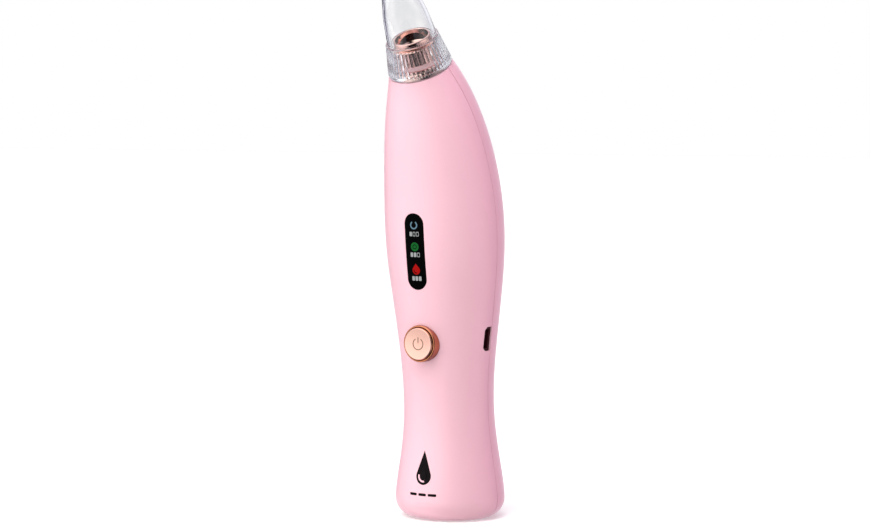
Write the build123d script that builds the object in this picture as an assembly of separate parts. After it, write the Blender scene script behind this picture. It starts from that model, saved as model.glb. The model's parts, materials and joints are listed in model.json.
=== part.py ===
"""Blackhead vacuum extractor: a pebble-shaped wand with a clear suction tip.

Millimetres. The wand stands upright on its flat base: the origin is the centre of the base,
+Z is up, the front (display and button) faces -Y, and the charging socket is on the +X side.
Each function below makes one sub-part, and build() writes one STEP per named sub-part.
"""

import math
import os

from build123d import *

# ---------------------------------------------------------------- casing
WALL = 2.0
BASE_ROUND = 6.5
# Cross-sections of the casing, all ellipses: height, spine position along Y, half width, half depth.
SECTIONS = [
    (0.0, 0.0, 18.4, 17.7),
    (8.0, 0.0, 18.9, 18.2),
    (20.0, -0.1, 17.3, 16.7),
    (40.0, -0.8, 15.6, 15.1),
    (60.0, -1.4, 16.9, 16.4),
    (80.0, -2.2, 19.3, 18.6),
    (98.0, -3.4, 20.6, 19.7),
    (115.0, -5.6, 19.9, 19.0),
    (130.0, -9.2, 17.9, 17.2),
    (143.0, -13.7, 14.8, 14.4),
    (153.3, -18.9, 11.0, 11.0),
]
SEAM_GAP = 0.2
LIP_INSET = 1.1
LIP_REACH = 1.3
FIT = 0.05

# ---------------------------------------------------------------- nozzle
NOZZLE_TILT = 29.0
TIP_LIFT = 0.3
COLLAR_TOP = 11.25
COLLAR_RADII = (10.95, 9.15)
RIM_TOP = 1.5
CROWN = 0.9
RIB_COUNT = 48
RIB_DEPTH = 0.3
TIP_BORE = 7.6
TIP_WALL = 1.15
CONE_RADIUS = 8.45
SHOULDER = (7.45, 20.5)
MOUTH = (4.6, 33.4)
PORT_BARREL = 7.3
BARREL_TOP = 9.4
PORT_LIP = 6.4
PORT_HOLE = 5.7
PORT_TOP = 12.05
PORT_BORE = 4.9
FILTER_SPAN = (1.6, 3.6)
PORT_FLANGE = 8.2
NECK = 6.4
ORING_HEIGHT = 3.2
ORING_SECTION = 0.86
ORING_OUTER = 7.56
BARB_END = -14.0

# ---------------------------------------------------------------- front controls
BUTTON_Z = 60.8
BUTTON_FRONT = -20.6
CAP_RADIUS = 5.5
BEZEL_RADIUS = 6.2
BEZEL_BORE = 5.8
BEZEL_FRONT = -20.0
FLANGE_Y = -13.6
DISPLAY_Z = 91.9
DISPLAY_LENGTH = 26.0
DISPLAY_WIDTH = 7.4
DISPLAY_SLOPE = 7.3
DISPLAY_FACE_Y = -22.75
CELL_OFFSETS = (9.0, 6.0, 1.7, -1.0, -6.0, -9.1)

# ---------------------------------------------------------------- electronics
PCB_FRONT = -6.0
PCB_THICK = 1.0
PCB_HALF_WIDTH = 9.0
PCB_SPAN = (46.0, 83.0)
PCB_SCREW_X = 6.5
PCB_SCREW_Z = (49.5, 79.5)
USB_Z = 62.0
USB_LENGTH = 8.3
USB_DEPTH = 3.8
USB_MOUTH_X = 14.9
USB_OPENING = (6.4, 2.2)
USB_HEIGHT = 2.8
BATTERY_RADIUS = 7.0
BATTERY_SPAN = (5.0, 55.0)
BATTERY_Y = 2.8
LEAD_X = 5.0
WIRE_RADIUS = 0.6

# ---------------------------------------------------------------- motor and pump
PUMP_Y = -5.5
CAN_RADIUS = 10.0
CAN_SPAN = (86.0, 108.0)
CAN_WALL = 0.8
SHAFT_RADIUS = 1.0
SHAFT_SPAN = (84.0, 111.9)
BUSH_CLEARANCE = 0.03
ARMATURE_RADIUS = 7.0
TERMINAL_X = 5.0
MOTOR_SCREW_Y = 5.0
BRACKET_SPAN = (90.0, 100.0)
BRACKET_SCREW_X = 14.0
PUMP_SPAN = (108.0, 122.0)
PUMP_HALF = 8.5
CRANK_CHAMBER = 7.2
ECCENTRICITY = 1.0
CRANK_PIN_RADIUS = 1.5
ROD_Z = 115.0
DIAPHRAGM_X = 6.5
DIAPHRAGM_FLANGE = 0.8
VALVE_PLATE_THICK = 2.2
HEAD_X = DIAPHRAGM_X + DIAPHRAGM_FLANGE + VALVE_PLATE_THICK
HEAD_LENGTH = 4.0
VALVE_Y = 3.0
HEAD_HALF = 7.0
HEAD_SCREW = 5.3
SCREW_RADIUS = 0.95

SECTION_TILTS = [0.0]
for lower, upper in zip(SECTIONS, SECTIONS[2:]):
    SECTION_TILTS.append(math.degrees(math.atan2(lower[1] - upper[1], upper[0] - lower[0])))
SECTION_TILTS.append(NOZZLE_TILT)


def leaning_normal(tilt):
    """The upward direction of a section that leans forward by tilt degrees."""
    angle = math.radians(tilt)
    return Vector(0, -math.sin(angle), math.cos(angle))


NOZZLE_AXIS = leaning_normal(NOZZLE_TILT)
NOZZLE = Plane(origin=(0, SECTIONS[-1][1], SECTIONS[-1][0]), x_dir=(1, 0, 0), z_dir=NOZZLE_AXIS)
PUMP = Plane(origin=(0, PUMP_Y, 0), x_dir=(1, 0, 0), z_dir=(0, 0, 1))
slope = math.radians(DISPLAY_SLOPE)
DISPLAY = Plane(
    origin=(0, DISPLAY_FACE_Y, DISPLAY_Z),
    x_dir=(1, 0, 0),
    z_dir=(0, -math.cos(slope), -math.sin(slope)),
)


# ---------------------------------------------------------------- helpers
def block(low, high):
    """An axis-aligned box between two corners."""
    size = [b - a for a, b in zip(low, high)]
    middle = [(a + b) / 2 for a, b in zip(low, high)]
    return Pos(*middle) * Box(*size)


def bar(radius, start, end):
    """A round bar between two points."""
    axis = Vector(end) - Vector(start)
    return Part() + Solid.make_cylinder(radius, axis.length, Plane(origin=start, z_dir=axis))


def disc(radius, bottom, top, plane=Plane.XY):
    """A round bar along a plane's normal, between two heights above the plane."""
    return bar(radius, plane.origin + plane.z_dir * bottom, plane.origin + plane.z_dir * top)


def ring(outer, inner, bottom, top, plane=Plane.XY):
    """A round bar with a hole through it."""
    return disc(outer, bottom, top, plane) - disc(inner, bottom - 1, top + 1, plane)


def turned(points, plane=Plane.XY):
    """A turned solid from (radius, height) points, about the plane's normal."""
    outline = Polyline(*[(radius, 0, height) for radius, height in points], close=True)
    return plane.location * revolve(make_face(outline), Axis.Z)


def slab_x(half, low_x, high_x, corner=2.0):
    """A square plate with rounded corners in the pump head's stack, across X."""
    outline = Plane(origin=(low_x, PUMP_Y, ROD_Z), z_dir=(1, 0, 0)) * RectangleRounded(2 * half, 2 * half, corner)
    return extrude(outline, amount=high_x - low_x)


def along_x(radius, low_x, high_x, y=PUMP_Y, z=ROD_Z):
    """A round bar along X."""
    return bar(radius, (low_x, y, z), (high_x, y, z))


def along_y(radius, low_y, high_y, x, z):
    """A round bar along Y."""
    return bar(radius, (x, low_y, z), (x, high_y, z))


def pan_screw(length, head_radius=1.8, head_height=1.2):
    """A pan-head screw along +Z with the underside of its head at the origin, pointing down."""
    head = fillet((Pos(0, 0, head_height / 2) * Cylinder(head_radius, head_height)).edges().group_by(Axis.Z)[-1], 0.4)
    slot = Pos(0, 0, head_height) * Box(2 * head_radius, 0.5, 0.8)
    return head - slot + Pos(0, 0, -length / 2) * Cylinder(SCREW_RADIUS, length)


def wire(points, radius, bends):
    """A round wire of straight runs and tangent arcs."""
    path = FilletPolyline(*points, radius=bends)
    start = path @ 0
    return sweep(Plane(origin=start, z_dir=path % 0) * Circle(radius), path=path)


# ---------------------------------------------------------------- casing form
def casing_form(inset):
    """The casing's outer form, drawn in by inset on every side."""
    rings = []
    for (height, spine_y, half_width, half_depth), tilt in zip(SECTIONS, SECTION_TILTS):
        plane = Plane(origin=(0, spine_y, height), x_dir=(1, 0, 0), z_dir=leaning_normal(tilt))
        rings.append(plane * Ellipse(half_width - inset, half_depth - inset))
    form = loft(rings)
    if inset:
        form -= block((-30, -30, -1), (30, 30, inset))
        form -= disc(30, -inset, 10, NOZZLE)
    bottom = form.edges().group_by(Axis.Z)[0]
    return fillet(bottom, BASE_ROUND - inset)


def front_region(shift):
    """All space in front of the parting surface, which follows the casing's spine."""
    spine = [Vector(0, spine_y, height) for height, spine_y, _, _ in SECTIONS]
    curve = Spline(*spine, tangents=[(0, 0, 1), NOZZLE_AXIS])
    below = spine[0] - Vector(0, 0, 10)
    above = spine[-1] + NOZZLE_AXIS * 20
    outline = curve + Polyline(spine[-1], above, (0, -80, above.Z), (0, -80, -10), below, spine[0])
    return Pos(0, shift, 0) * extrude(make_face(outline), amount=40, dir=(1, 0, 0), both=True)


def usb_slot(inset):
    """The charging slot, drawn in by inset: long side on the seam, chamfered corners at its front."""
    rear = SECTIONS[4][1] - FIT - inset
    front = SECTIONS[4][1] - FIT - USB_DEPTH + inset
    half = USB_LENGTH / 2 - inset
    corner = 1.1
    outline = Polyline(
        (0, rear, USB_Z - half), (0, front + corner, USB_Z - half), (0, front, USB_Z - half + corner),
        (0, front, USB_Z + half - corner), (0, front + corner, USB_Z + half), (0, rear, USB_Z + half),
        close=True,
    )
    return Pos(10, 0, 0) * extrude(make_face(outline), amount=12, dir=(1, 0, 0))


def pill(length, width, low, high):
    """A round-ended bar across the display, between two heights above its face."""
    outline = DISPLAY * Rot(0, 0, 90) * SlotOverall(length, width)
    solid = extrude(outline, amount=high - low)
    return Pos(DISPLAY.z_dir * low) * solid


def screw_bosses():
    """Four bosses that reach back from the front wall to the main board."""
    bosses = Part()
    for x in (-PCB_SCREW_X, PCB_SCREW_X):
        for z in PCB_SCREW_Z:
            bosses += along_y(1.9, -30, PCB_FRONT, x, z)
    return bosses


def boss_holes():
    """Pilot holes in the four board bosses."""
    holes = Part()
    for x in (-PCB_SCREW_X, PCB_SCREW_X):
        for z in PCB_SCREW_Z:
            holes += along_y(SCREW_RADIUS + FIT, PCB_FRONT - 5.5, PCB_FRONT, x, z)
    return holes


def front_shell(outer, middle, cavity):
    """Front half of the casing, with the rebate that takes the rear half's lip."""
    shell = (outer - cavity) & front_region(-SEAM_GAP / 2)
    rebate = casing_form(LIP_INSET - 0.1) - front_region(-LIP_REACH - 0.2)
    shell = shell - rebate + (screw_bosses() & middle & front_region(-LIP_REACH - 0.3)) - boss_holes()
    shell -= disc(NECK, -5, 1, NOZZLE)
    shell -= pill(DISPLAY_LENGTH + 2 * FIT, DISPLAY_WIDTH + 2 * FIT, -6, 4)
    shell -= along_y(BEZEL_RADIUS + FIT, -30, PCB_FRONT - 5, 0, BUTTON_Z)
    shell -= usb_slot(0)
    return shell


def cradle_ribs():
    """Ribs on the rear wall that hold the battery, and bosses that take the motor bracket."""
    ribs = Part()
    for z in (14.0, 30.0, 46.0):
        ribs += block((-16, BATTERY_Y, z - 0.8), (16, 20, z + 0.8))
    ribs -= bar(BATTERY_RADIUS + 0.2, (0, BATTERY_Y, 0), (0, BATTERY_Y, 60))
    ribs -= block((-BATTERY_RADIUS - 0.6, BATTERY_Y - 1, 0), (0, BATTERY_Y + 2.3, 60))
    height = sum(BRACKET_SPAN) / 2
    for x in (-BRACKET_SCREW_X, BRACKET_SCREW_X):
        ribs += along_y(2.2, 0, 20, x, height) - along_y(SCREW_RADIUS + FIT, -1, 5, x, height)
    return ribs


def rear_shell(outer, middle, cavity):
    """Rear half of the casing, with a lip that laps inside the front half."""
    shell = outer - front_region(SEAM_GAP / 2)
    shell += middle - front_region(-LIP_REACH)
    shell -= cavity
    shell += cradle_ribs() & middle
    shell -= disc(NECK, -5, 1, NOZZLE)
    shell -= usb_slot(0)
    return shell


# ---------------------------------------------------------------- display
def display_lens():
    """Black window that follows the casing, a tenth of a millimetre below its surface."""
    return pill(DISPLAY_LENGTH, DISPLAY_WIDTH, -6, 4) & (casing_form(0.1) - casing_form(WALL - 0.3))


def light_guide():
    """White frame behind the window, with one cell for each lit symbol."""
    guide = pill(DISPLAY_LENGTH - 1.4, DISPLAY_WIDTH - 0.6, -4.4, -2.65)
    for offset in CELL_OFFSETS:
        cell = DISPLAY.location * Pos(0, -offset, -3) * Box(4.4, 1.9, 4)
        guide -= cell
    return guide


def display_board():
    """Small board that carries the light-emitting diodes."""
    return pill(DISPLAY_LENGTH - 0.4, DISPLAY_WIDTH + 1.6, -5.25, -4.45)


def display_leds():
    """One diode in each cell of the light guide."""
    leds = Part()
    for offset in CELL_OFFSETS:
        leds += DISPLAY.location * Pos(0, -offset, -4.1) * Box(1.6, 0.8, 0.6)
    return leds


def display_ribbon():
    """Flat cable from the display board to the main board."""
    start = Vector(0, -16.2, 82.0)
    path = FilletPolyline(start, (0, -11.0, 82.0), (0, -11.0, 76.0), (0, PCB_FRONT, 76.0), radius=2.0)
    return sweep(Plane(origin=start, x_dir=(1, 0, 0), z_dir=(0, 1, 0)) * Rectangle(5.0, 0.2), path=path)


# ---------------------------------------------------------------- button
def button_bezel():
    """Rose-gold ring that lines the button's hole, with a flange behind the wall."""
    sleeve = along_y(BEZEL_RADIUS, BEZEL_FRONT, FLANGE_Y, 0, BUTTON_Z)
    sleeve = chamfer(sleeve.edges().group_by(Axis.Y)[0], 0.2)
    flange = along_y(7.2, FLANGE_Y, FLANGE_Y + 0.7, 0, BUTTON_Z)
    return sleeve + flange - along_y(BEZEL_BORE, BEZEL_FRONT - 1, FLANGE_Y + 1, 0, BUTTON_Z)


def button_cap():
    """Rose-gold button: a cup with a rounded face, a retaining flange and a centre stem."""
    back = FLANGE_Y + 0.75
    cup = along_y(CAP_RADIUS, BUTTON_FRONT, back + 0.8, 0, BUTTON_Z)
    cup = fillet(cup.edges().group_by(Axis.Y)[0], 0.4)
    cup += along_y(6.6, back, back + 0.8, 0, BUTTON_Z)
    cup -= along_y(4.4, BUTTON_FRONT + 1.3, back + 1, 0, BUTTON_Z)
    return cup + along_y(1.2, BUTTON_FRONT + 1, -11.1, 0, BUTTON_Z)


def tact_switch_body():
    """Square push switch on the main board, open around its plunger."""
    half = 3.0
    body = block((-half, -8.5, BUTTON_Z - half), (half, PCB_FRONT, BUTTON_Z + half))
    return body - along_y(2.0, -9, -6.5, 0, BUTTON_Z)


def switch_plunger():
    """The moving stem of the push switch."""
    return along_y(1.6, -11.05, -7.6, 0, BUTTON_Z)


def switch_dome():
    """Snap dome under the plunger, which pushes it back."""
    profile = [(0, 0.75), (1.2, 0.55), (1.9, 0.05), (1.75, 0.0), (1.1, 0.42), (0, 0.62)]
    seat = Plane(origin=(0, -6.5, BUTTON_Z), x_dir=(1, 0, 0), z_dir=(0, -1, 0))
    return turned(profile, seat)


# ---------------------------------------------------------------- electronics
def main_pcb():
    """Main circuit board, behind the button."""
    board = block((-PCB_HALF_WIDTH, PCB_FRONT, PCB_SPAN[0]), (PCB_HALF_WIDTH, PCB_FRONT + PCB_THICK, PCB_SPAN[1]))
    board = fillet(board.edges().filter_by(Axis.Y), 1.5)
    for x in (-PCB_SCREW_X, PCB_SCREW_X):
        for z in PCB_SCREW_Z:
            board -= along_y(1.1, PCB_FRONT - 1, 0, x, z)
    return board


def pcb_components():
    """Charger chip, transistor, inductor and capacitors on the back of the board."""
    back = PCB_FRONT + PCB_THICK
    chips = block((-7.5, back, 66.5), (-3.0, back + 1.2, 71.5))
    chips += block((0.5, back, 67.0), (3.5, back + 1.0, 69.5))
    chips += along_y(1.9, back, back + 1.9, -1.0, 77.5)
    for z in (53.0, 55.5, 58.0):
        chips += block((-8.0, back, z), (-6.2, back + 0.7, z + 1.0))
    return chips


def pcb_screws():
    """Four screws that hold the main board to the front shell."""
    screws = Part()
    for x in (-PCB_SCREW_X, PCB_SCREW_X):
        for z in PCB_SCREW_Z:
            head_seat = Plane(origin=(x, PCB_FRONT + PCB_THICK, z), z_dir=(0, 1, 0))
            screws += head_seat.location * pan_screw(5.5, head_radius=1.6, head_height=0.9)
    return screws


def usb_shell():
    """Sheet-metal shell of the charging socket, open towards +X."""
    back = PCB_FRONT + PCB_THICK
    skins = []
    for sheet, mouth in ((0.0, 0.0), (0.3, 1.0)):
        low = (9.4 + sheet, back + sheet, USB_Z - 3.75 + sheet)
        high = (USB_MOUTH_X + mouth, back + USB_HEIGHT - sheet, USB_Z + 3.75 - sheet)
        skin = block(low, high)
        skins.append(chamfer(skin.edges().filter_by(Axis.X).group_by(Axis.Y)[0], 0.9 - sheet / 2))
    return skins[0] - skins[1]


def usb_tongue():
    """Contact tongue in the middle of the charging socket."""
    middle = PCB_FRONT + PCB_THICK + 1.5
    return block((9.8, middle - 0.35, USB_Z - 2.0), (USB_MOUTH_X - 0.8, middle + 0.35, USB_Z + 2.0))


def usb_grommet():
    """Dark liner of the charging slot, a little below the casing's surface."""
    width, depth = USB_OPENING
    middle = PCB_FRONT + PCB_THICK + USB_HEIGHT / 2
    liner = usb_slot(FIT) & casing_form(0.5)
    liner -= block((0, -20, 0), (USB_MOUTH_X + FIT, 20, 100))
    return liner - block((0, middle - depth / 2, USB_Z - width / 2), (30, middle + depth / 2, USB_Z + width / 2))


def battery_cell():
    """Round lithium cell with a shallow ring groove and a raised positive end."""
    low, high = BATTERY_SPAN
    can = bar(BATTERY_RADIUS, (0, BATTERY_Y, low), (0, BATTERY_Y, high - 1.0))
    can = fillet(can.edges().filter_by(GeomType.CIRCLE), 0.6)
    groove = Plane(origin=(0, BATTERY_Y, high - 4.0))
    can -= ring(BATTERY_RADIUS + 1, BATTERY_RADIUS - 0.4, -0.5, 0.5, groove)
    return can + bar(2.8, (0, BATTERY_Y, high - 1.5), (0, BATTERY_Y, high))


def battery_tabs():
    """Nickel strips welded to both ends of the cell."""
    low, high = BATTERY_SPAN
    side = BATTERY_RADIUS + 0.1
    bottom = block((-side - 0.15, BATTERY_Y - 2, low - 0.2), (3, BATTERY_Y + 2, low - 0.05))
    riser = block((-side - 0.15, BATTERY_Y - 2, low - 0.1), (-side, BATTERY_Y + 2, high + 0.6))
    turn = block((-side - 0.15, BATTERY_Y - 2, high + 0.45), (-4.2, BATTERY_Y + 2, high + 0.6))
    top = block((-2.5, BATTERY_Y - 2, high + 0.05), (4.2, BATTERY_Y + 2, high + 0.2))
    return bottom + riser + turn + top


def battery_pad():
    """Foam pad between the cell and the bottom of the casing."""
    return bar(6.0, (0, BATTERY_Y, WALL), (0, BATTERY_Y, BATTERY_SPAN[0] - 0.2))


def battery_leads():
    """Two wires from the cell to the back of the main board."""
    back = PCB_FRONT + PCB_THICK
    leads = Part()
    for x, start in ((-LEAD_X, BATTERY_SPAN[1] + 0.6), (3.2, BATTERY_SPAN[1] + 0.2)):
        leads += wire([(x, BATTERY_Y, start), (x, BATTERY_Y, 61.0), (x, back, 61.0)], WIRE_RADIUS, 3.0)
    return leads


def motor_leads():
    """Two wires from the main board to the motor's terminals."""
    back = PCB_FRONT + PCB_THICK
    leads = Part()
    for x in (-TERMINAL_X, TERMINAL_X):
        leads += wire([(x, back, 74.0), (x, -0.5, 74.0), (x, -0.5, 81.5)], WIRE_RADIUS, 2.5)
    return leads


# ---------------------------------------------------------------- motor
def motor_can():
    """Drawn steel can of the motor, closed at the top."""
    low, high = CAN_SPAN
    can = disc(CAN_RADIUS, low, high, PUMP)
    can = fillet(can.edges().group_by(Axis.Z)[-1], 0.8)
    can -= disc(CAN_RADIUS - CAN_WALL, low - 1, high - CAN_WALL, PUMP)
    can -= disc(2.2, high - 2, high + 1, PUMP)
    for y in (-MOTOR_SCREW_Y, MOTOR_SCREW_Y):
        can -= bar(SCREW_RADIUS + FIT, (0, PUMP_Y + y, high - 2), (0, PUMP_Y + y, high + 1))
    return can


def motor_magnets():
    """Two arc magnets against the can's wall."""
    tube = ring(CAN_RADIUS - CAN_WALL - FIT, ARMATURE_RADIUS + 0.6, 91.0, 105.0, PUMP)
    return tube - block((-2.5, -30, 80), (2.5, 30, 120))


def motor_end_cap():
    """Plastic cap that closes the bottom of the can and holds the lower bush."""
    low = CAN_SPAN[0]
    cap = disc(CAN_RADIUS - 0.1, low - 1.5, low, PUMP) + disc(CAN_RADIUS - CAN_WALL - FIT, low, low + 1.5, PUMP)
    cap -= disc(2.2, low - 3, low + 3, PUMP)
    for x in (-TERMINAL_X, TERMINAL_X):
        cap -= block((x - 1.1, -1.2, low - 3), (x + 1.1, 0.2, low + 3))
    return cap


def motor_terminals():
    """Two solder tabs through the end cap."""
    low = CAN_SPAN[0]
    tabs = Part()
    for x in (-TERMINAL_X, TERMINAL_X):
        tabs += block((x - 1.0, -0.7, low - 4.5), (x + 1.0, -0.3, low + 1.5))
    return tabs


def motor_brushes():
    """Two brush arms that stand on the end cap, either side of the commutator."""
    low = CAN_SPAN[0] + 1.5
    brushes = Part()
    for side in (-1, 1):
        near, far = sorted((side * 2.6, side * 4.2))
        brushes += block((near, PUMP_Y - 1, low), (far, PUMP_Y + 1, low + 2.4))
    return brushes


def bush(bottom, top):
    """Sintered bush for the motor shaft."""
    return ring(2.2, SHAFT_RADIUS + BUSH_CLEARANCE, bottom, top, PUMP)


def motor_shaft():
    """Steel shaft of the motor, up to the crank wheel."""
    return disc(SHAFT_RADIUS, *SHAFT_SPAN, PUMP)


def armature_core():
    """Three-pole laminated core."""
    low, high = 92.0, 104.0
    core = disc(2.6, low, high, PUMP)
    for turn in (90, 210, 330):
        pole = Pos(4.0, 0, (low + high) / 2) * Box(5.0, 2.2, high - low)
        shoe = ring(ARMATURE_RADIUS, ARMATURE_RADIUS - 1.2, low, high) & block((0, -5.0, low), (9, 5.0, high))
        core += PUMP.location * Rot(0, 0, turn) * (pole + shoe)
    return core - disc(SHAFT_RADIUS, low - 1, high + 1, PUMP)


def armature_windings():
    """Three copper coils, one round each pole."""
    low, high = 91.2, 104.8
    coils = Part()
    for turn in (90, 210, 330):
        coil = Pos(4.1, 0, (low + high) / 2) * Box(2.4, 4.4, high - low)
        hole = Pos(4.1, 0, (low + high) / 2) * Box(4.0, 2.3, high - low - 1.4)
        coils += PUMP.location * Rot(0, 0, turn) * (coil - hole)
    return coils


def commutator():
    """Copper commutator on the shaft, with three slots."""
    barrel = ring(2.2, SHAFT_RADIUS, 87.8, 90.6)
    for turn in (30, 150, 270):
        barrel -= Rot(0, 0, turn) * Pos(2.1, 0, 89.2) * Box(0.8, 0.3, 4)
    return PUMP.location * barrel


def motor_sleeve():
    """Rubber sleeve that keeps the motor's hum out of the casing."""
    return ring(CAN_RADIUS + 0.9, CAN_RADIUS + FIT, 88.0, 104.0, PUMP)


def motor_bracket():
    """Plastic saddle that clamps the sleeved motor to the rear shell."""
    low, high = BRACKET_SPAN
    saddle = ring(CAN_RADIUS + 2.4, CAN_RADIUS + 0.95, low, high, PUMP)
    ears = block((-16.5, -2.5, low + 1), (16.5, 0, high - 1)) - disc(CAN_RADIUS + 1.5, low - 1, high + 1, PUMP)
    bracket = saddle + ears - block((-20, -30, low - 1), (20, PUMP_Y - 6, high + 1))
    for x in (-BRACKET_SCREW_X, BRACKET_SCREW_X):
        bracket -= along_y(1.1, -5, 1, x, (low + high) / 2)
    return bracket


def bracket_screws():
    """Two screws that hold the motor bracket."""
    screws = Part()
    for x in (-BRACKET_SCREW_X, BRACKET_SCREW_X):
        seat = Plane(origin=(x, -2.5, sum(BRACKET_SPAN) / 2), z_dir=(0, -1, 0))
        screws += seat.location * pan_screw(7.0)
    return screws


# ---------------------------------------------------------------- pump
def pump_housing():
    """Crank chamber above the motor, open at the top and towards the diaphragm."""
    low, high = PUMP_SPAN
    body = block((-PUMP_HALF, PUMP_Y - PUMP_HALF, low), (DIAPHRAGM_X, PUMP_Y + PUMP_HALF, high))
    body = fillet(body.edges().filter_by(Axis.Z).group_by(Axis.X)[0], 3.0)
    body -= disc(CRANK_CHAMBER, low + 1.5, high + 1, PUMP)
    body -= disc(2.4, low - 1, low + 2, PUMP)
    body -= along_x(5.4, 0, 10)
    for y in (-MOTOR_SCREW_Y, MOTOR_SCREW_Y):
        body -= bar(SCREW_RADIUS + FIT, (0, PUMP_Y + y, low - 1), (0, PUMP_Y + y, low + 2))
        body -= bar(1.7, (0, PUMP_Y + y, low + 0.8), (0, PUMP_Y + y, low + 2))
    return body - head_screw_holes(-2.0)


def head_screw_holes(low_x):
    """Clearance for the four long screws through the pump head's stack."""
    holes = Part()
    for y in (-HEAD_SCREW, HEAD_SCREW):
        for z in (-HEAD_SCREW, HEAD_SCREW):
            holes += along_x(SCREW_RADIUS + FIT, low_x, 20, PUMP_Y + y, ROD_Z + z)
    return holes


def pump_cover():
    """Lid over the crank chamber."""
    high = PUMP_SPAN[1]
    lid = block((-PUMP_HALF, PUMP_Y - PUMP_HALF, high), (DIAPHRAGM_X - 0.2, PUMP_Y + PUMP_HALF, high + 1.2))
    return fillet(lid.edges().filter_by(Axis.Z).group_by(Axis.X)[0], 3.0)


def motor_screws():
    """Two short screws that hold the pump housing on the motor."""
    screws = Part()
    seat = PUMP_SPAN[0] + 0.8
    for y in (-MOTOR_SCREW_Y, MOTOR_SCREW_Y):
        screws += Pos(0, PUMP_Y + y, seat) * pan_screw(2.8, head_radius=1.6, head_height=0.7)
    return screws


def crank_wheel():
    """Crank wheel on the shaft, with its counterweight and offset pin."""
    low, high = 109.9, 112.0
    wheel = disc(5.2, low, high, PUMP) - disc(SHAFT_RADIUS, low - 1, SHAFT_SPAN[1], PUMP)
    relief = block((-6, PUMP_Y - 6, high - 0.9), (-2.6, PUMP_Y + 6, high + 1))
    pin_x = -ECCENTRICITY
    return wheel - relief + bar(CRANK_PIN_RADIUS, (pin_x, PUMP_Y, high - 0.1), (pin_x, PUMP_Y, ROD_Z + 2.3))


def crank_bearing():
    """Small ball bearing between the crank pin and the connecting rod."""
    plane = Plane(origin=(-ECCENTRICITY, PUMP_Y, 0))
    return ring(3.5, CRANK_PIN_RADIUS + BUSH_CLEARANCE, ROD_Z - 1.5, ROD_Z + 1.5, plane)


def connecting_rod():
    """Rod from the crank bearing to the diaphragm, with a round foot."""
    plane = Plane(origin=(-ECCENTRICITY, PUMP_Y, 0))
    eye = disc(4.9, ROD_Z - 1.3, ROD_Z + 1.3, plane)
    arm = block((0, PUMP_Y - 1.4, ROD_Z - 1.3), (4.6, PUMP_Y + 1.4, ROD_Z + 1.3))
    foot = along_x(2.6, 4.4, 5.5)
    return eye + arm + foot - disc(3.5 + 0.02, ROD_Z - 3, ROD_Z + 3, plane)


def diaphragm():
    """Rubber diaphragm, drawn in as at the end of the suction stroke."""
    flange = slab_x(HEAD_HALF, DIAPHRAGM_X, DIAPHRAGM_X + DIAPHRAGM_FLANGE) - along_x(5.2, 0, 10)
    axis = Plane(origin=(0, PUMP_Y, ROD_Z), x_dir=(0, 1, 0), z_dir=(1, 0, 0))
    bowl = [
        (0, 5.55), (2.8, 5.55), (3.6, 6.3), (4.4, 6.75), (5.3, 6.6),
        (5.3, 7.2), (4.2, 7.3), (3.2, 6.7), (2.5, 6.15), (0, 6.15),
    ]
    return flange + turned(bowl, axis) - head_screw_holes(0)


def valve_plate():
    """Plate with a dished face and two ports."""
    low = DIAPHRAGM_X + DIAPHRAGM_FLANGE
    plate = slab_x(HEAD_HALF, low, HEAD_X)
    axis = Plane(origin=(low, PUMP_Y, ROD_Z), x_dir=(0, 1, 0), z_dir=(1, 0, 0))
    plate -= turned([(0, -1), (5.0, -1), (5.0, 0.0), (4.0, 1.2), (0, 1.2)], axis)
    for y in (-VALVE_Y, VALVE_Y):
        plate -= along_x(0.8, 0, 20, PUMP_Y + y)
    return plate - head_screw_holes(0)


def valve_flaps():
    """Rubber sheet with the two flap valves."""
    sheet = along_x(5.0, HEAD_X, HEAD_X + 0.4)
    for y in (-VALVE_Y, VALVE_Y):
        sheet -= along_x(1.5, 0, 20, PUMP_Y + y) - along_x(1.1, 0, 20, PUMP_Y + y) - block(
            (0, PUMP_Y - 20, ROD_Z), (20, PUMP_Y + 20, ROD_Z + 5)
        )
    return sheet


def pump_head():
    """Head with the inlet and outlet spouts."""
    spout_x = HEAD_X + 2.2
    head = slab_x(HEAD_HALF, HEAD_X, HEAD_X + HEAD_LENGTH) - along_x(5.05, HEAD_X - 1, HEAD_X + 0.4)
    top = ROD_Z + HEAD_HALF
    for y, reach in ((-VALVE_Y, 6.5), (VALVE_Y, 3.0)):
        spout = (spout_x, PUMP_Y + y)
        head += bar(1.45, (*spout, top - 1), (*spout, top + reach))
    for y in (-VALVE_Y, VALVE_Y):
        spout = (spout_x, PUMP_Y + y)
        head -= bar(0.8, (*spout, ROD_Z), (*spout, top + 10))
        head -= along_x(0.8, HEAD_X, spout_x, PUMP_Y + y)
    return head - head_screw_holes(0)


def pump_screws():
    """Four long screws through the pump head's stack."""
    screws = Part()
    for y in (-HEAD_SCREW, HEAD_SCREW):
        for z in (-HEAD_SCREW, HEAD_SCREW):
            seat = Plane(origin=(HEAD_X + HEAD_LENGTH, PUMP_Y + y, ROD_Z + z), z_dir=(1, 0, 0))
            screws += seat.location * pan_screw(8.4, head_radius=1.6, head_height=1.0)
    return screws


def suction_tube():
    """Silicone tube from the pump's inlet to the suction port."""
    inlet = Vector(HEAD_X + 2.2, PUMP_Y - VALVE_Y, ROD_Z + HEAD_HALF + 0.5)
    barb = NOZZLE.origin + NOZZLE_AXIS * (BARB_END + 7.0)
    points = [inlet, inlet + Vector(0, 0, 11.0), barb - NOZZLE_AXIS * 10.0, barb]
    outside = wire(points, 2.2, 4.0)
    return outside - wire(points, 1.5, 4.0)


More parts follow.
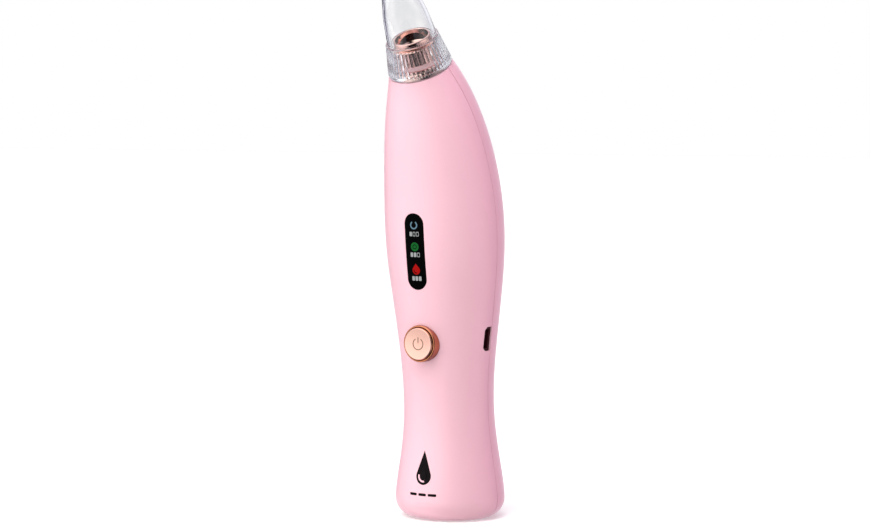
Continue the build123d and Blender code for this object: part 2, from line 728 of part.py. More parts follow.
# ---------------------------------------------------------------- nozzle
def suction_port():
    """Rose-gold port: hose barb, flange, O-ring barrel and a wide smooth mouth."""
    flange_top = -WALL - 0.65
    groove = 0.95
    groove_radius = ORING_OUTER - 2 * ORING_SECTION
    outline = [
        (0.8, BARB_END), (1.45, BARB_END), (1.45, -6.5), (3.0, -5.2), (PORT_FLANGE, -4.4), (PORT_FLANGE, flange_top),
        (NECK - FIT, flange_top), (NECK - FIT, 0.05), (PORT_BARREL, 0.05),
        (PORT_BARREL, ORING_HEIGHT - groove), (groove_radius, ORING_HEIGHT - groove),
        (groove_radius, ORING_HEIGHT + groove), (PORT_BARREL, ORING_HEIGHT + groove),
        (PORT_BARREL, BARREL_TOP - 0.3), (PORT_BARREL - 0.3, BARREL_TOP), (PORT_LIP, BARREL_TOP + 0.1),
        (PORT_LIP, PORT_TOP - 0.3), (PORT_LIP - 0.08, PORT_TOP - 0.1), (PORT_LIP - 0.25, PORT_TOP),
        (PORT_HOLE + 0.2, PORT_TOP), (PORT_HOLE + 0.05, PORT_TOP - 0.1), (PORT_HOLE, PORT_TOP - 0.3),
        (PORT_HOLE - 0.1, PORT_TOP - 4.0), (PORT_BORE, PORT_TOP - 5.0), (PORT_BORE, FILTER_SPAN[0] - FIT),
        (1.6, 0.6), (0.8, 0.0),
    ]
    return turned(outline, NOZZLE)


def port_gasket():
    """Rubber washer between the port's flange and the casing."""
    return ring(PORT_FLANGE, NECK + FIT, -WALL - 0.6, -WALL - 0.02, NOZZLE)


def port_o_ring():
    """Silicone ring that grips the clear tip."""
    centre = ORING_OUTER - ORING_SECTION
    section = Plane.XZ * Pos(centre, ORING_HEIGHT) * Circle(ORING_SECTION)
    return NOZZLE.location * revolve(section, Axis.Z)


def filter_sponge():
    """Foam disc that keeps dirt out of the pump."""
    return disc(PORT_BORE - FIT, *FILTER_SPAN, NOZZLE)


def collar_ribs():
    """The gripping ribs of the tip's collar: a tapered star."""
    stars = []
    for height, radius in ((RIM_TOP, COLLAR_RADII[0]), (COLLAR_TOP - CROWN, COLLAR_RADII[1])):
        points = []
        for step in range(2 * RIB_COUNT):
            angle = math.pi * step / RIB_COUNT
            reach = radius - RIB_DEPTH * (step % 2)
            points.append((reach * math.cos(angle), reach * math.sin(angle)))
        stars.append(Pos(0, 0, height) * make_face(Polyline(*points, close=True)))
    return loft(stars, ruled=True)


def clear_tip():
    """Clear suction tip: ribbed collar, tapered cone and rounded mouth."""
    base, top = COLLAR_RADII
    rim = [
        (0, TIP_LIFT), (base - 0.1, TIP_LIFT), (base + 0.1, TIP_LIFT + 0.4),
        (base, RIM_TOP + 0.1), (0, RIM_TOP + 0.1),
    ]
    crest = COLLAR_TOP - CROWN - 0.05
    collar = turned(rim)
    crown = turned([(0, crest), (top, crest), (top - 0.05, COLLAR_TOP - 0.3), (top - 0.3, COLLAR_TOP), (0, COLLAR_TOP)])
    cone = Polyline((0, 0, COLLAR_TOP - 1), (CONE_RADIUS, 0, COLLAR_TOP - 1), (CONE_RADIUS, 0, COLLAR_TOP))
    cone += tip_profile(0)
    cone += Line((MOUTH[0], 0, MOUTH[1]), (0, 0, MOUTH[1])) + Line((0, 0, MOUTH[1]), (0, 0, COLLAR_TOP - 1))
    solid = collar + collar_ribs() + crown + revolve(make_face(cone), Axis.Z)
    inside = Polyline((0, 0, 0), (TIP_BORE, 0, 0), (TIP_BORE, 0, COLLAR_TOP), (CONE_RADIUS - TIP_WALL, 0, COLLAR_TOP))
    inside += tip_profile(TIP_WALL)
    end = (MOUTH[0] - TIP_WALL, 0, MOUTH[1])
    inside += Polyline(end, (end[0], 0, MOUTH[1] + 1), (0, 0, MOUTH[1] + 1), (0, 0, 0))
    return NOZZLE.location * (solid - revolve(make_face(inside), Axis.Z))


def tip_profile(inset):
    """The cone's side and rounded shoulder, drawn in by inset."""
    start = (CONE_RADIUS - inset, 0, COLLAR_TOP)
    shoulder = (SHOULDER[0] - inset, 0, SHOULDER[1])
    side = Line(start, shoulder)
    mouth = (MOUTH[0] - inset, 0, MOUTH[1])
    return side + Spline(shoulder, mouth, tangents=[side % 1, (-0.35, 0, 1)])


# ---------------------------------------------------------------- assembly
def build():
    """Every sub-part by name."""
    outer = casing_form(0)
    middle = casing_form(LIP_INSET)
    cavity = casing_form(WALL)
    parts = {
        "front_shell": front_shell(outer, middle, cavity),
        "rear_shell": rear_shell(outer, middle, cavity),
        "bush_lower": bush(CAN_SPAN[0] - 1.8, CAN_SPAN[0] + 1.4),
        "bush_upper": bush(CAN_SPAN[1] - 2.0, CAN_SPAN[1] + 1.0),
    }
    makers = [
        display_lens, light_guide, display_board, display_leds, display_ribbon,
        button_bezel, button_cap, tact_switch_body, switch_plunger, switch_dome,
        main_pcb, pcb_components, pcb_screws, usb_shell, usb_tongue, usb_grommet,
        battery_cell, battery_tabs, battery_pad, battery_leads, motor_leads,
        motor_can, motor_magnets, motor_end_cap, motor_terminals, motor_brushes,
        motor_shaft, armature_core, armature_windings, commutator, motor_sleeve,
        motor_bracket, bracket_screws, pump_housing, pump_cover, motor_screws,
        crank_wheel, crank_bearing, connecting_rod, diaphragm, valve_plate, valve_flaps,
        pump_head, pump_screws, suction_tube, suction_port, port_gasket, port_o_ring,
        filter_sponge, clear_tip,
    ]
    for maker in makers:
        parts[maker.__name__] = maker()
    return parts


os.makedirs("parts", exist_ok=True)
for name, shape in build().items():
    export_step(shape, os.path.join("parts", name + ".step"))
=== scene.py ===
"""Looks of the blackhead vacuum extractor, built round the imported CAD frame. Metres."""

import json
import math

import bpy
from mathutils import Matrix, Vector
from mathutils.bvhtree import BVHTree


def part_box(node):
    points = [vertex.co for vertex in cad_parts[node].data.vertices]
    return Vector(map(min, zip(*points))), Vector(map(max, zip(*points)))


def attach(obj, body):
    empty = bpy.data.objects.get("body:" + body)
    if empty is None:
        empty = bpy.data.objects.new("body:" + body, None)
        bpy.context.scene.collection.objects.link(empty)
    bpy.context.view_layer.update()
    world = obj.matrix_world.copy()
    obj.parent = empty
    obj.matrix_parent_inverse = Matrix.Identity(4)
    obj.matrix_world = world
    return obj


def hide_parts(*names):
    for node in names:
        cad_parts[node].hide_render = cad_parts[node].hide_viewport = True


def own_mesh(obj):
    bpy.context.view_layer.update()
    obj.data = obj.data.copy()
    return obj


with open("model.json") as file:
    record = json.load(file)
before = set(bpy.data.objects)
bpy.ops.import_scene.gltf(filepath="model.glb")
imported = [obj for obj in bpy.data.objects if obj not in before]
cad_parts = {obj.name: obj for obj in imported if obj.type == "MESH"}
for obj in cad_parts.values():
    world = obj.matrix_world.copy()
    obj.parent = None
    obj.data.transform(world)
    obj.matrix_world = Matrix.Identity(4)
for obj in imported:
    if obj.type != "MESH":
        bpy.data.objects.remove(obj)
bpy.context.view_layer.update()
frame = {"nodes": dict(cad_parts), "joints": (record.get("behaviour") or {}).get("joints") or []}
NODES = frame["nodes"]
JOINTS = {joint["name"]: joint for joint in frame["joints"]}
MM = 0.001

# ---------------------------------------------------------------- clear tip, in mm along and from its axis
ORING_HEIGHT = 3.2
TIP_SEGMENTS = 768
RIB_COUNT = 48
RIB_DEPTH = 0.32
RIB_SPAN = (1.7, 10.3)
COLLAR_TOP = 10.4
COLLAR_RADIUS = 8.5
# Corners of the tip's section: radius, height and rounding, up the outside and down the inside.
TIP_CORNERS = [
    (7.6, 0.32, 0.15), (10.85, 0.32, 0.35), (11.0, 1.1, 0.5), (10.9, 1.65, 0.1), (9.2, 10.35, 0.1),
    (9.13, 11.22, 0.4), (8.5, 11.22, 0.3), (7.5, 20.5, 2.5), (4.6, 33.35, 0.5),
    (3.5, 33.35, 0.45), (6.35, 20.5, 2.5), (7.3, 11.3, 0.6), (7.6, 10.7, 0.4),
]

# ---------------------------------------------------------------- dished face of the push button, in mm
FACE_RADIUS = 5.05
FACE_RIM = 0.3
FACE_BEVEL = 0.1
FACE_CREST = 0.02
FACE_DISH = 0.2
FACE_LIFT = 0.01
FACE_BACK = -0.3
FACE_STEPS = 10
FACE_SEGMENTS = 96
# Radius of the hole left on the axis, so that no face there shrinks to nothing.
AXIS_GAP = 0.02

# ---------------------------------------------------------------- other shapes
# Most of a section's side that the rounding of one corner may take up.
CORNER_SHARE = 0.45

# ---------------------------------------------------------------- printed and lit marks, in mm
MARK_STEPS = 48
MARK_ROWS = 4
MARK_HEIGHT = 0.03
# How far in front of a mark's centre the search for the surface starts.
MARK_RUN_UP = 3.0
PIP_HALF_SIZE = (0.5, 0.75)
PIP_PITCH = 1.3
PIP_HOLLOW = 0.7
DASH_HALF_SIZE = (1.5, 0.45)
DASH_PITCH = 3.7
EMBLEM_DROP = (2.9, 8.7)
DISPLAY_CENTRE = (0.0, -22.75, 91.9)
DISPLAY_SLOPE = math.radians(7.3)
BUTTON_CENTRE = (0.0, -20.6, 60.8)
EMBLEM_CENTRE = (0.0, -17.2, 15.6)
CAPTION_CENTRE = (0.0, -17.9, 9.4)

# ---------------------------------------------------------------- camera
CAMERA_AZIMUTH = math.radians(32.0)
CAMERA_ELEVATION = math.radians(3.5)
CAMERA_DISTANCE = 0.85
CAMERA_LENS = 102.0
CAMERA_NEAR = 0.01
AIM_SIDE = -0.0052
AIM_HEIGHT = 0.0872


def pointing(azimuth, elevation):
    """Unit vector at an angle from the front towards +X, and at an angle above the horizon."""
    level = math.cos(elevation)
    return Vector((math.sin(azimuth) * level, -math.cos(azimuth) * level, math.sin(elevation)))


def make_camera():
    """Camera level with the wand's upper half, turned towards its +X side and looking slightly down."""
    back = pointing(CAMERA_AZIMUTH, CAMERA_ELEVATION)
    right = Vector((math.cos(CAMERA_AZIMUTH), math.sin(CAMERA_AZIMUTH), 0))
    up = back.cross(right)
    camera = bpy.data.objects.new("camera", bpy.data.cameras.new("camera"))
    camera.data.lens = CAMERA_LENS
    camera.data.clip_start = CAMERA_NEAR
    place = right * AIM_SIDE + up * AIM_HEIGHT + back * CAMERA_DISTANCE
    turn = Matrix((right, up, back)).transposed().to_4x4()
    camera.matrix_world = Matrix.Translation(place) @ turn
    bpy.context.scene.collection.objects.link(camera)
    bpy.context.scene.camera = camera


# ---------------------------------------------------------------- materials
def new_material(name):
    """An empty node material with its shader, and the shader's node tree."""
    made = bpy.data.materials.new(name)
    made.use_nodes = True
    tree = made.node_tree
    return made, tree, tree.nodes["Principled BSDF"]


def noise(tree, scale, detail=2.0, stretch=(1, 1, 1)):
    """Noise in the object's own space: the texture node, ready to link."""
    place = tree.nodes.new("ShaderNodeTexCoord")
    mapping = tree.nodes.new("ShaderNodeMapping")
    mapping.inputs["Scale"].default_value = stretch
    texture = tree.nodes.new("ShaderNodeTexNoise")
    texture.inputs["Scale"].default_value = scale
    texture.inputs["Detail"].default_value = detail
    tree.links.new(place.outputs["Object"], mapping.inputs["Vector"])
    tree.links.new(mapping.outputs["Vector"], texture.inputs["Vector"])
    return texture


def ramp(tree, source, low, high):
    """Maps a 0 to 1 value onto low to high."""
    mapped = tree.nodes.new("ShaderNodeMapRange")
    mapped.inputs["To Min"].default_value = low
    mapped.inputs["To Max"].default_value = high
    tree.links.new(source, mapped.inputs["Value"])
    return mapped.outputs["Result"]


def shades(tree, source, first, second):
    """Mixes two colours by a 0 to 1 value."""
    mix = tree.nodes.new("ShaderNodeMix")
    mix.data_type = "RGBA"
    mix.inputs["A"].default_value = (*first, 1)
    mix.inputs["B"].default_value = (*second, 1)
    tree.links.new(source, mix.inputs["Factor"])
    return mix.outputs["Result"]


def bump(tree, shader, source, distance, strength=0.3):
    """Raises the surface by a texture."""
    node = tree.nodes.new("ShaderNodeBump")
    node.inputs["Distance"].default_value = distance
    node.inputs["Strength"].default_value = strength
    tree.links.new(source, node.inputs["Height"])
    tree.links.new(node.outputs["Normal"], shader.inputs["Normal"])


def finish_material(name, colour, spread=0.04, rough=(0.3, 0.4), grain=900, relief=0.00002, **sockets):
    """A material with a fine grain in its colour, roughness and relief."""
    made, tree, shader = new_material(name)
    texture = noise(tree, grain)
    darker = tuple(max(0.0, c * (1 - spread)) for c in colour)
    lighter = tuple(min(1.0, c * (1 + spread)) for c in colour)
    tree.links.new(shades(tree, texture.outputs["Fac"], darker, lighter), shader.inputs["Base Color"])
    tree.links.new(ramp(tree, texture.outputs["Fac"], *rough), shader.inputs["Roughness"])
    bump(tree, shader, texture.outputs["Fac"], relief)
    for socket, value in sockets.items():
        shader.inputs[socket.replace("_", " ")].default_value = value
    return made


def dress(node, made):
    """Gives a CAD node its material."""
    slots = NODES[node].data.materials
    slots.clear()
    slots.append(made)


def dress_cad_nodes():
    """Materials of the CAD nodes that keep their own shape."""
    pink = finish_material("pink_satin", (0.82, 0.463, 0.552), 0.008, (0.30, 0.36), 260, 0.00002)
    # Painted shade: a darker copy of the button face's rose gold, for the button's side and bezel, which
    # mirror the shaded body beside them.
    shaded_rose_gold = finish_material("rose_gold_painted_shade", (0.56, 0.21, 0.115), 0.03, (0.14, 0.2), 1500, 0.000004,
                                Metallic=1.0)
    pale_gold = finish_material("pale_rose_gold", (0.74, 0.48, 0.43), 0.03, (0.03, 0.06), 1500, 0.000002,
                                Metallic=1.0)
    lens = finish_material("black_gloss", (0.001, 0.001, 0.0012), 0.1, (0.10, 0.16), 400, 0.000004,
                           Specular_IOR_Level=0.01)
    white = finish_material("white_plastic", (0.8, 0.8, 0.78), 0.03, (0.4, 0.55), 700)
    # Painted shade: the grommet's near-black maroon stands in for the slot's pink rear wall in shade.
    grommet_shade = finish_material("slot_liner_painted_shade", (0.03, 0.004, 0.007), 0.1, (0.4, 0.55), 900, Specular_IOR_Level=0.1)
    black = finish_material("black_plastic", (0.012, 0.01, 0.011), 0.1, (0.4, 0.55), 900)
    grey = finish_material("grey_plastic", (0.2, 0.21, 0.22), 0.06, (0.4, 0.55), 700)
    board = finish_material("circuit_board", (0.01, 0.11, 0.04), 0.15, (0.25, 0.4), 300)
    diode = finish_material("diode", (0.85, 0.8, 0.45), 0.05, (0.15, 0.25), 900)
    steel = finish_material("steel", (0.56, 0.56, 0.57), 0.08, (0.25, 0.4), 900, Metallic=1.0)
    nickel = finish_material("nickel", (0.62, 0.6, 0.55), 0.08, (0.2, 0.35), 900, Metallic=1.0)
    copper = finish_material("copper", (0.8, 0.36, 0.18), 0.1, (0.2, 0.35), 900, Metallic=1.0)
    bronze = finish_material("bronze", (0.42, 0.26, 0.12), 0.15, (0.4, 0.6), 1500, Metallic=1.0)
    magnet = finish_material("magnet", (0.05, 0.05, 0.055), 0.2, (0.5, 0.7), 900)
    # Painted light: the o-ring's pink glow comes from no lamp. It keeps the ring pink in the shade under the
    # clear collar.
    glowing_silicone = finish_material("pink_silicone", (0.62, 0.36, 0.37), 0.02, (0.3, 0.42), 500,
                               Emission_Color=(0.9, 0.58, 0.58, 1), Emission_Strength=0.42)
    rubber = finish_material("black_rubber", (0.018, 0.018, 0.018), 0.15, (0.55, 0.75), 900)
    tube = finish_material("clear_silicone", (0.86, 0.87, 0.86), 0.02, (0.2, 0.3), 500,
                           Transmission_Weight=0.8)
    foam = finish_material("foam", (0.05, 0.05, 0.055), 0.5, (0.8, 0.95), 2500, 0.0002)
    wrap = finish_material("cell_wrap", (0.02, 0.09, 0.3), 0.06, (0.18, 0.28), 500)
    jacket = finish_material("wire_jacket", (0.45, 0.015, 0.015), 0.06, (0.3, 0.42), 900)
    groups = {
        pink: ["front_shell", "rear_shell"],
        shaded_rose_gold: ["button_bezel", "button_cap"],
        pale_gold: ["suction_port"],
        lens: ["display_lens"],
        white: ["light_guide", "motor_end_cap", "crank_wheel", "connecting_rod"],
        black: ["tact_switch_body", "switch_plunger", "pcb_components", "usb_tongue"],
        grommet_shade: ["usb_grommet"],
        grey: ["motor_bracket", "pump_housing", "pump_cover", "valve_plate", "pump_head"],
        board: ["display_board", "main_pcb"],
        diode: ["display_leds"],
        steel: ["switch_dome", "pcb_screws", "motor_can", "motor_shaft", "armature_core", "bracket_screws",
                "motor_screws", "crank_bearing", "pump_screws"],
        nickel: ["usb_shell", "battery_tabs"],
        copper: ["display_ribbon", "motor_terminals", "motor_brushes", "armature_windings", "commutator"],
        bronze: ["bush_lower", "bush_upper"],
        magnet: ["motor_magnets"],
        glowing_silicone: ["port_o_ring"],
        rubber: ["motor_sleeve", "diaphragm", "valve_flaps", "port_gasket"],
        tube: ["suction_tube"],
        foam: ["battery_pad", "filter_sponge"],
        wrap: ["battery_cell"],
        jacket: ["battery_leads", "motor_leads"],
    }
    for made, names in groups.items():
        for name in names:
            dress(name, made)


# ---------------------------------------------------------------- pieces
def add_piece(name, points, faces, made):
    """A mesh object with one material and smooth shading."""
    mesh = bpy.data.meshes.new(name)
    mesh.from_pydata(points, [], faces)
    mesh.materials.append(made)
    mesh.shade_smooth()
    piece = bpy.data.objects.new(name, mesh)
    bpy.context.scene.collection.objects.link(piece)
    return piece


def rounded_corner(before, corner, after, radius, steps=6):
    """Points on a curve that rounds one corner of a section."""
    corner = Vector(corner)
    towards_before = Vector(before) - corner
    towards_after = Vector(after) - corner
    start = corner + towards_before.normalized() * min(radius, towards_before.length * CORNER_SHARE)
    end = corner + towards_after.normalized() * min(radius, towards_after.length * CORNER_SHARE)
    points = []
    for step in range(steps + 1):
        t = step / steps
        points.append(start * (1 - t) ** 2 + corner * 2 * t * (1 - t) + end * t * t)
    return points


def rounded_section(corners):
    """A closed section with its corners rounded."""
    places = [corner[:2] for corner in corners]
    section = []
    for number, (radius, height, rounding) in enumerate(corners):
        before = places[number - 1]
        after = places[(number + 1) % len(places)]
        section += rounded_corner(before, (radius, height), after, rounding)
    return section


def turned(section, base, axis, segments, reach=lambda radius, height, angle: radius):
    """Points and faces of a closed section, in mm, turned about an axis."""
    side = Vector((1, 0, 0))
    front = axis.cross(side)
    points = []
    for turn in range(segments):
        angle = 2 * math.pi * turn / segments
        outward = side * math.cos(angle) + front * math.sin(angle)
        for radius, height in section:
            points.append(base + (outward * reach(radius, height, angle) + axis * height) * MM)
    count = len(section)
    faces = []
    for turn in range(segments):
        here = turn * count
        there = (turn + 1) % segments * count
        for number in range(count):
            following = (number + 1) % count
            faces.append((here + number, there + number, there + following, here + following))
    return points, faces


def ribbed_reach(radius, height, angle):
    """Radius of the tip at an angle, with soft grooves between the collar's gripping ribs."""
    groove = RIB_DEPTH * (1 - abs(math.cos(RIB_COUNT * angle / 2)))
    ribbed = RIB_SPAN[0] < height < RIB_SPAN[1] and radius > COLLAR_RADIUS
    return radius - groove if ribbed else radius


def make_tip():
    """The clear tip as a fine turned mesh, hazier on its ribbed collar."""
    axis = Vector(JOINTS["tip_pull"]["axis"]).normalized()
    low, high = (Vector(corner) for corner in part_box("port_o_ring"))
    base = (low + high) / 2 - axis * ORING_HEIGHT * MM
    section = [tuple(place) for place in rounded_section(TIP_CORNERS)]
    points, faces = turned(section, base, axis, TIP_SEGMENTS, ribbed_reach)
    clear = finish_material("clear_plastic", (0.94, 0.945, 0.955), 0.004, (0.0, 0.03), 700, 0.000002,
                            Transmission_Weight=1.0, IOR=1.49)
    ribbed_clear = finish_material("ribbed_clear_plastic", (0.8, 0.81, 0.86), 0.004, (0.18, 0.24), 700,
                                   0.000002, Transmission_Weight=1.0, IOR=1.49)
    tip = add_piece("suction_tip_clear", points, faces, clear)
    tip.data.materials.append(ribbed_clear)
    for face in tip.data.polygons:
        radius, height = section[face.index % len(section)]
        face.material_index = int(radius > COLLAR_RADIUS and height < COLLAR_TOP)
    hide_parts("clear_tip")
    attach(tip, "tip")


def make_button_face():
    """The push button's face, dished for a fingertip and rounded at its rim."""
    edge = FACE_RADIUS + FACE_RIM
    corners = [
        (edge, FACE_BACK, 0.05),
        (edge, FACE_DISH - FACE_BEVEL, FACE_BEVEL),
        (edge - 2 * FACE_BEVEL, FACE_DISH + FACE_CREST, FACE_BEVEL),
    ]
    for step in range(FACE_STEPS, -1, -1):
        share = step / FACE_STEPS
        corners.append((AXIS_GAP + FACE_RADIUS * share, FACE_DISH * share * share + FACE_LIFT, 0.3))
    corners.append((AXIS_GAP, FACE_BACK, 0.01))
    section = rounded_section(corners)
    points, faces = turned(section, Vector(BUTTON_CENTRE) * MM, Vector((0, -1, 0)), FACE_SEGMENTS)
    rose_gold = finish_material("rose_gold", (0.65, 0.372, 0.32), 0.03, (0.10, 0.16), 1500, 0.000004,
                                Metallic=1.0)
    face = add_piece("button_face", points, faces, rose_gold)
    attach(face, "button")
    return face


def make_switch_dome():
    """The switch's snap dome, copied with its own mesh in place of the CAD node."""
    dome = NODES["switch_dome"].copy()
    dome.data = dome.data.copy()
    dome.name = "switch_dome_soft"
    bpy.context.scene.collection.objects.link(dome)
    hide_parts("switch_dome")
    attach(dome, "housing")
    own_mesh(dome)


# ---------------------------------------------------------------- marks
# A mark's edge is a function that gives the distance from the mark's centre at an angle. Each
# mark is a tuple: offset right, offset up, edge, inner share and outer share of the edge's
# distance, start and end in degrees.
def round_edge(radius):
    """Edge of a round mark."""
    return lambda angle: radius


def box_edge(half_width, half_height):
    """Edge of a rectangular mark with rounded corners."""
    power = 7
    return lambda angle: (
        abs(math.cos(angle) / half_width) ** power + abs(math.sin(angle) / half_height) ** power
    ) ** (-1 / power)


def drop_edge(radius, tip):
    """Edge of a drop: a round belly, and straight sides that meet at a tip above it."""
    opening = math.acos(radius / tip)

    def edge(angle):
        off = abs(math.remainder(angle - math.pi / 2, 2 * math.pi))
        return radius if off > opening else radius / math.cos(opening - off)

    return edge


def drop_marks(radius, tip):
    """A drop with a curved highlight left open on its lower left."""
    edge = drop_edge(radius, tip)
    return [
        (0, 0, edge, 0.0, 0.5, 0, 360),
        (0, 0, edge, 0.5, 0.72, 285, 525),
        (0, 0, edge, 0.72, 1.0, 0, 360),
    ]


def pip_marks(up, filled):
    """A row of three pips, of which the first ones are filled."""
    edge = box_edge(*PIP_HALF_SIZE)
    marks = []
    for pip in range(3):
        inner = 0.0 if pip < filled else PIP_HOLLOW
        marks.append((PIP_PITCH * (pip - 1), up, edge, inner, 1.0, 0, 360))
    return marks


def mark_grid(mark):
    """Flat points and faces of one mark."""
    right, up, edge, inner, outer, start, end = mark
    closed = end - start == 360
    turns = MARK_STEPS if closed else MARK_STEPS + 1
    first = 1 if inner == 0 else 0
    points = []
    for row in range(first, MARK_ROWS + 1):
        share = inner + (outer - inner) * row / MARK_ROWS
        for turn in range(turns):
            angle = math.radians(start + (end - start) * turn / MARK_STEPS)
            reach = edge(angle) * share
            points.append((right + reach * math.cos(angle), up + reach * math.sin(angle)))
    faces = []
    for row in range(MARK_ROWS - first):
        for turn in range(MARK_STEPS):
            here = row * turns + turn
            there = row * turns + (turn + 1) % turns
            faces.append((here, here + turns, there + turns, there))
    if first:
        points.append((right, up))
        for turn in range(turns):
            faces.append((turn, (turn + 1) % turns, len(points) - 1))
    return points, faces


def add_marks(name, item, body, centre, slope, marks, made):
    """Thin marks laid on the front of a piece, one piece for each colour."""
    places = [item.matrix_world @ vertex.co for vertex in item.data.vertices]
    surface = BVHTree.FromPolygons(places, [tuple(face.vertices) for face in item.data.polygons])
    inward = Vector((0, math.cos(slope), math.sin(slope)))
    upward = Vector((0, -math.sin(slope), math.cos(slope)))
    points = []
    faces = []
    for mark in marks:
        flat, corners = mark_grid(mark)
        faces += [tuple(len(points) + corner for corner in face) for face in corners]
        for right, up in flat:
            start = (Vector(centre) + Vector((right, 0, 0)) + upward * up - inward * MARK_RUN_UP) * MM
            place = surface.ray_cast(start, inward)[0]
            points.append(place - inward * MARK_HEIGHT * MM)
    piece = add_piece(name, points, faces, made)
    thickness = piece.modifiers.new("thickness", "SOLIDIFY")
    thickness.thickness = MARK_HEIGHT * MM
    thickness.offset = -1
    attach(piece, body)


def lit_material(name, colour):
    """A symbol lit from behind."""
    return finish_material(name, (0.001, 0.001, 0.001), 0.1, (0.3, 0.4), 900, 0.000002,
                           Emission_Color=(*colour, 1), Emission_Strength=1.0, Specular_IOR_Level=0.01)


def make_display_symbols():
    """Three lit symbols, each over a row of pips that shows its level."""
    round_mark = round_edge(1.4)
    symbols = {
        "symbol_ring": ((0.15, 0.26, 0.33), [(0, 9.0, round_mark, 0.68, 1.0, 120, 420)]),
        "symbol_disc": ((0.01, 0.13, 0.025), [
            (0, 1.7, round_mark, 0.0, 0.4, 0, 360),
            (0, 1.7, round_mark, 0.58, 1.08, 0, 360),
        ]),
        "symbol_drop": ((0.42, 0.006, 0.005), [
            (right, up - 6.3, *rest) for right, up, *rest in drop_marks(1.45, 2.3)
        ]),
        "symbol_pips": ((0.40, 0.41, 0.41), pip_marks(6.0, 1) + pip_marks(-1.0, 2) + pip_marks(-9.1, 3)),
    }
    for name, (colour, marks) in symbols.items():
        add_marks(name, NODES["display_lens"], "housing", DISPLAY_CENTRE, DISPLAY_SLOPE, marks,
                  lit_material(name, colour))


def make_button_symbol(face):
    """A power symbol on the push button's face."""
    ink = finish_material("button_ink", (0.20, 0.10, 0.06), 0.05, (0.35, 0.45), 900, 0.000002)
    marks = [
        (0, 0, round_edge(2.1), 0.84, 1.0, 122, 418),
        (0, 1.35, box_edge(0.17, 1.0), 0.0, 1.0, 0, 360),
    ]
    add_marks("button_symbol", face, "button", BUTTON_CENTRE, 0, marks, ink)


def make_emblem():
    """A black drop above three dashes, printed on the front of the casing."""
    ink = finish_material("emblem_ink", (0.004, 0.002, 0.003), 0.1, (0.3, 0.4), 900, 0.000002,
                          Specular_IOR_Level=0.05)
    shell = NODES["front_shell"]
    add_marks("emblem", shell, "housing", EMBLEM_CENTRE, 0, drop_marks(*EMBLEM_DROP), ink)
    dash = box_edge(*DASH_HALF_SIZE)
    marks = [(DASH_PITCH * (number - 1), 0, dash, 0.0, 1.0, 0, 360) for number in range(3)]
    add_marks("emblem_dashes", shell, "housing", CAPTION_CENTRE, 0, marks, ink)


# ---------------------------------------------------------------- stage
# Soft boxes of the studio: degrees to the right of the camera and above the horizon, then the
# angles within which each is full and beyond which it is gone, and its colour. A negative colour
# takes light away where it lies, down to none. No real lamp does that.
SOFT_BOXES = [
    (-48, 28, 10, 60, (1.72, 1.86, 1.68)),
    (-95, 8, 10, 32, (0.8, 0.8, 0.85)),
    (180, 0, 20, 62, (0.6, 0.6, 0.63)),
    (0, 88, 25, 60, (0.8, 0.8, 0.8)),
    (8, 8, 10, 30, (-1.0, -1.0, -1.0)),
    (10, -53, 19, 30, (-1.0, -1.0, -1.0)),
    (-150, 0, 5, 14, (-1.0, -1.0, -1.0)),
    (-85, -42, 14, 40, (1.1, 1.0, 0.95)),
    (78, -20, 8, 31, (1.1, 1.0, 0.9)),
]
# Grey that mirrored light finds in every direction, on top of the soft boxes.
MIRRORED_ROOM = (0.42, 0.41, 0.45)
# Half of the floor's side.
FLOOR_REACH = 6.0
# Share of scattered light that passes through the floor, for each time it has scattered.
FLOOR_LET_THROUGH = 0.25


def add_soft_boxes(tree, total):
    """Adds the soft boxes to a colour of the world, by how squarely a ray faces each."""
    direction = tree.nodes.new("ShaderNodeTexCoord").outputs["Generated"]
    for right, above, full, gone, colour in SOFT_BOXES:
        facing = tree.nodes.new("ShaderNodeVectorMath")
        facing.operation = "DOT_PRODUCT"
        facing.inputs[1].default_value = pointing(CAMERA_AZIMUTH + math.radians(right), math.radians(above))
        tree.links.new(direction, facing.inputs[0])
        fade = tree.nodes.new("ShaderNodeMapRange")
        fade.interpolation_type = "SMOOTHERSTEP"
        fade.inputs["From Min"].default_value = math.cos(math.radians(gone))
        fade.inputs["From Max"].default_value = math.cos(math.radians(full))
        tree.links.new(facing.outputs["Value"], fade.inputs["Value"])
        adding = tree.nodes.new("ShaderNodeVectorMath")
        adding.operation = "MULTIPLY_ADD"
        adding.inputs[1].default_value = colour
        tree.links.new(fade.outputs["Result"], adding.inputs[0])
        tree.links.new(total, adding.inputs[2])
        total = adding.outputs["Vector"]
    return total


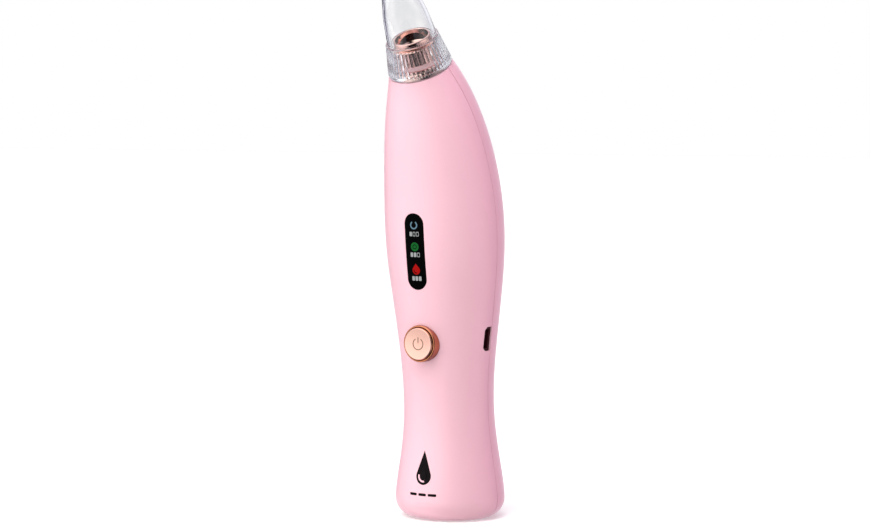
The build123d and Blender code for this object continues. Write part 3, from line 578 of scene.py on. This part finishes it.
def make_world():
    """White to the camera, soft boxes to scattered light, and those in a grey room to mirrored light.

    The renderer also samples the world directly, and finds it white, so a little of the light is white.
    """
    world = bpy.data.worlds.new("studio")
    bpy.context.scene.world = world
    world.use_nodes = True
    tree = world.node_tree
    background = tree.nodes["Background"]
    path = tree.nodes.new("ShaderNodeLightPath")
    mirrored = tree.nodes.new("ShaderNodeMath")
    mirrored.operation = "MINIMUM"
    mirrored.inputs[1].default_value = 1
    tree.links.new(path.outputs["Glossy Depth"], mirrored.inputs[0])
    room = tree.nodes.new("ShaderNodeVectorMath")
    room.operation = "SCALE"
    room.inputs[0].default_value = MIRRORED_ROOM
    tree.links.new(mirrored.outputs["Value"], room.inputs["Scale"])
    bounces = tree.nodes.new("ShaderNodeMath")
    tree.links.new(path.outputs["Diffuse Depth"], bounces.inputs[0])
    tree.links.new(mirrored.outputs["Value"], bounces.inputs[1])
    lit = tree.nodes.new("ShaderNodeVectorMath")
    lit.operation = "MAXIMUM"
    lit.inputs[1].default_value = (0, 0, 0)
    tree.links.new(add_soft_boxes(tree, room.outputs["Vector"]), lit.inputs[0])
    backdrop = tree.nodes.new("ShaderNodeMix")
    backdrop.data_type = "RGBA"
    backdrop.inputs["A"].default_value = (1, 1, 1, 1)
    tree.links.new(bounces.outputs["Value"], backdrop.inputs["Factor"])
    tree.links.new(lit.outputs["Vector"], backdrop.inputs["B"])
    tree.links.new(backdrop.outputs["Result"], background.inputs["Color"])


def add_softbox(name, right, above, distance, size, energy, colour, target):
    """A square light, placed by degrees to the right of the camera and above the target."""
    towards = pointing(CAMERA_AZIMUTH + math.radians(right), math.radians(above))
    light = bpy.data.objects.new(name, bpy.data.lights.new(name, "AREA"))
    light.data.shape = "SQUARE"
    light.data.size = size
    light.data.energy = energy
    light.data.color = colour
    light.location = Vector(target) + towards * distance
    light.rotation_euler = (-towards).to_track_quat("-Z", "Y").to_euler()
    light.visible_glossy = False
    light.visible_transmission = False
    bpy.context.scene.collection.objects.link(light)


def make_lights():
    """A near-white light from above onto the upper half, and a rosy one on the shaded side."""
    add_softbox("upper_light", -16, 58, 0.28, 0.2, 0.74, (0.95, 1, 1), (0, -0.01, 0.14))
    add_softbox("rosy_light", 92, 10, 0.5, 0.3, 0.46, (1.0, 0.2, 0.75), (0, 0, 0.09))


def make_floor():
    """Plain white floor, which all mirrored light and a share of scattered light passes through."""
    mesh = bpy.data.meshes.new("floor")
    signs = ((-1, -1), (1, -1), (1, 1), (-1, 1))
    corners = [(across * FLOOR_REACH, along * FLOOR_REACH, 0) for across, along in signs]
    mesh.from_pydata(corners, [], [(0, 1, 2, 3)])
    floor = bpy.data.objects.new("floor", mesh)
    bpy.context.scene.collection.objects.link(floor)
    white = finish_material("floor_white", (0.9, 0.9, 0.9), 0.005, (0.6, 0.7), 20,
                            Emission_Color=(1, 1, 1, 1), Emission_Strength=0.3)
    tree = white.node_tree
    path = tree.nodes.new("ShaderNodeLightPath")
    nothing = tree.nodes.new("ShaderNodeBsdfTransparent")
    mix = tree.nodes.new("ShaderNodeMixShader")
    share = tree.nodes.new("ShaderNodeMath")
    share.operation = "MULTIPLY_ADD"
    share.use_clamp = True
    share.inputs[1].default_value = FLOOR_LET_THROUGH
    tree.links.new(path.outputs["Diffuse Depth"], share.inputs[0])
    tree.links.new(path.outputs["Glossy Depth"], share.inputs[2])
    tree.links.new(share.outputs["Value"], mix.inputs["Fac"])
    tree.links.new(tree.nodes["Principled BSDF"].outputs["BSDF"], mix.inputs[1])
    tree.links.new(nothing.outputs["BSDF"], mix.inputs[2])
    tree.links.new(mix.outputs["Shader"], tree.nodes["Material Output"].inputs["Surface"])
    mesh.materials.append(white)


make_camera()
make_world()
make_lights()
make_floor()
dress_cad_nodes()
make_tip()
make_switch_dome()
make_display_symbols()
make_button_symbol(make_button_face())
make_emblem()
bpy.context.scene.view_settings.view_transform = "Standard"
